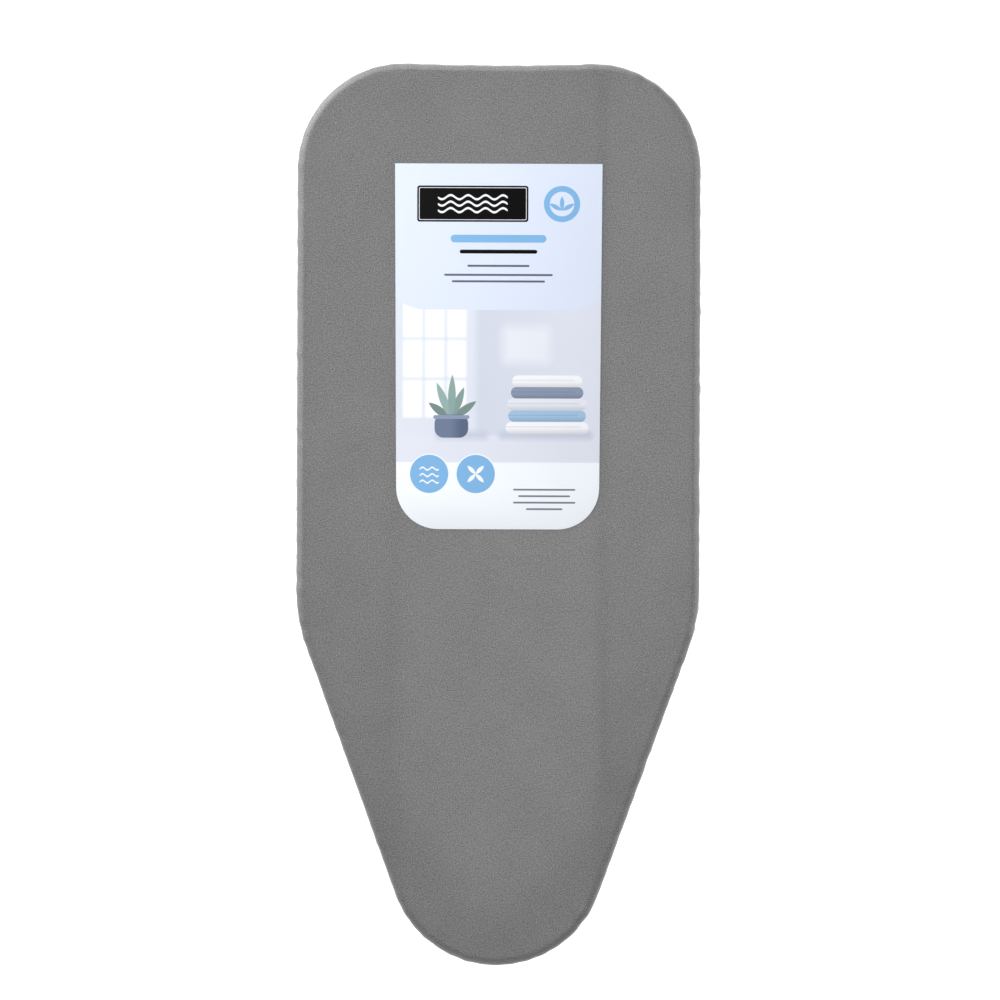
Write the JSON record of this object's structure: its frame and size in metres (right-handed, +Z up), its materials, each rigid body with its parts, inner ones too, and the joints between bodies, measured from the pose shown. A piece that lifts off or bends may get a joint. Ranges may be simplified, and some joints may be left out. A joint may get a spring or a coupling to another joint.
{
  "type": "tabletop ironing board",
  "caption": "Low folding ironing board for a table top: tapered padded steel-mesh deck in a grey cloth cover, with bent-tube legs that fold flat underneath.",
  "frame": {"origin": "middle of the board's length and width, on the table that it stands on", "axes": "+Y along the board towards its square tail, X across the board, +Z up from the table"},
  "size_m": [0.313, 0.7, 0.1409],
  "materials": {
    "cover_cloth": "plain-woven grey cotton",
    "felt": "needled felt",
    "elastic": "woven elastic",
    "frame_paint": "light grey powder coat",
    "leg_paint": "light grey powder coat",
    "rivet_steel": "plated",
    "washer_nylon": "natural",
    "foot_rubber": "matte",
    "card_stock": "printed satin"
  },
  "bodies": {
    "board": {"cover": "cover_cloth", "hem_elastic": "elastic", "felt_pad": "felt", "mesh_deck": "frame_paint", "rim_tube": "frame_paint", "left_rail": "frame_paint", "right_rail": "frame_paint", "rear_cross_rod": "frame_paint", "middle_cross_rod": "frame_paint", "front_cross_rod": "frame_paint", "rear_left_bracket": "frame_paint", "rear_left_pivot_rivet": "rivet_steel", "rear_left_outer_washer": "washer_nylon", "rear_left_inner_washer": "washer_nylon", "rear_left_end_rivet": "rivet_steel", "rear_left_middle_rivet": "rivet_steel", "rear_right_bracket": "frame_paint", "rear_right_pivot_rivet": "rivet_steel", "rear_right_outer_washer": "washer_nylon", "rear_right_inner_washer": "washer_nylon", "rear_right_end_rivet": "rivet_steel", "rear_right_middle_rivet": "rivet_steel", "front_left_bracket": "frame_paint", "front_left_pivot_rivet": "rivet_steel", "front_left_outer_washer": "washer_nylon", "front_left_inner_washer": "washer_nylon", "front_left_end_rivet": "rivet_steel", "front_left_middle_rivet": "rivet_steel", "front_right_bracket": "frame_paint", "front_right_pivot_rivet": "rivet_steel", "front_right_outer_washer": "washer_nylon", "front_right_inner_washer": "washer_nylon", "front_right_end_rivet": "rivet_steel", "front_right_middle_rivet": "rivet_steel", "retail_card": "card_stock"},
    "rear_leg_set": {"rear_leg": "leg_paint", "rear_left_foot": "foot_rubber", "rear_right_foot": "foot_rubber"},
    "front_leg_set": {"front_leg": "leg_paint", "front_left_foot": "foot_rubber", "front_right_foot": "foot_rubber"}
  },
  "joints": [
    {"name": "rear_leg_fold", "type": "hinge", "parent": "board", "child": "rear_leg_set", "pos_m": [0, 0.17, 0.10775], "axis": [-1, 0, 0], "range_deg": [0, 108]},
    {"name": "front_leg_fold", "type": "hinge", "parent": "board", "child": "front_leg_set", "pos_m": [0, -0.13, 0.10775], "axis": [1, 0, 0], "range_deg": [0, 108]}
  ]
}
